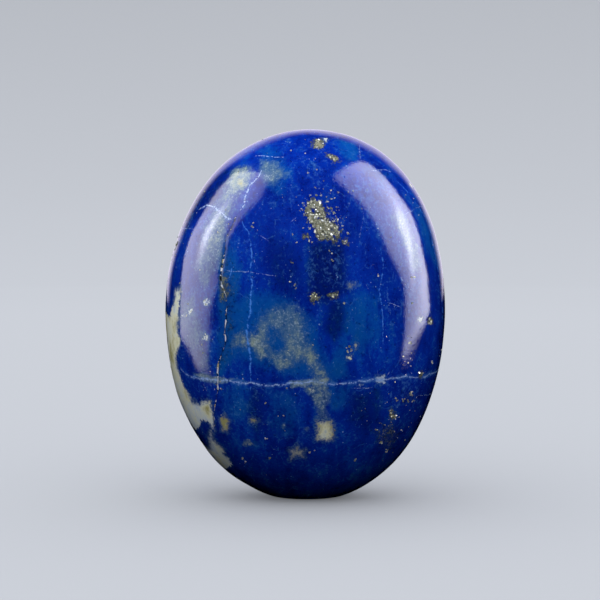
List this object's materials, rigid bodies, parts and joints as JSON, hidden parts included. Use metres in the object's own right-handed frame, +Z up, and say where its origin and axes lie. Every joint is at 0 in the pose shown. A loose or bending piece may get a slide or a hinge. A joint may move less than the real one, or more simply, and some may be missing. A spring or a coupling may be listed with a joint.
{
  "type": "tumbled stone",
  "caption": "Polished oval tumbled stone of blue lapis lazuli that stands on a small flat spot at its lower end, for display or as a decorative mineral specimen.",
  "frame": {"origin": "on the resting plane, at the level of the flat spot, under the middle of the stone's width and thickness", "axes": "+Z up along the stone's longest dimension, Y through its thickness with the veined face towards -Y, X across its width"},
  "size_m": [0.0304, 0.021, 0.04],
  "materials": {
    "polished_lapis": "polished",
    "pyrite": "polished"
  },
  "bodies": {
    "root": {"stone": "polished_lapis"}
  },
  "joints": []
}
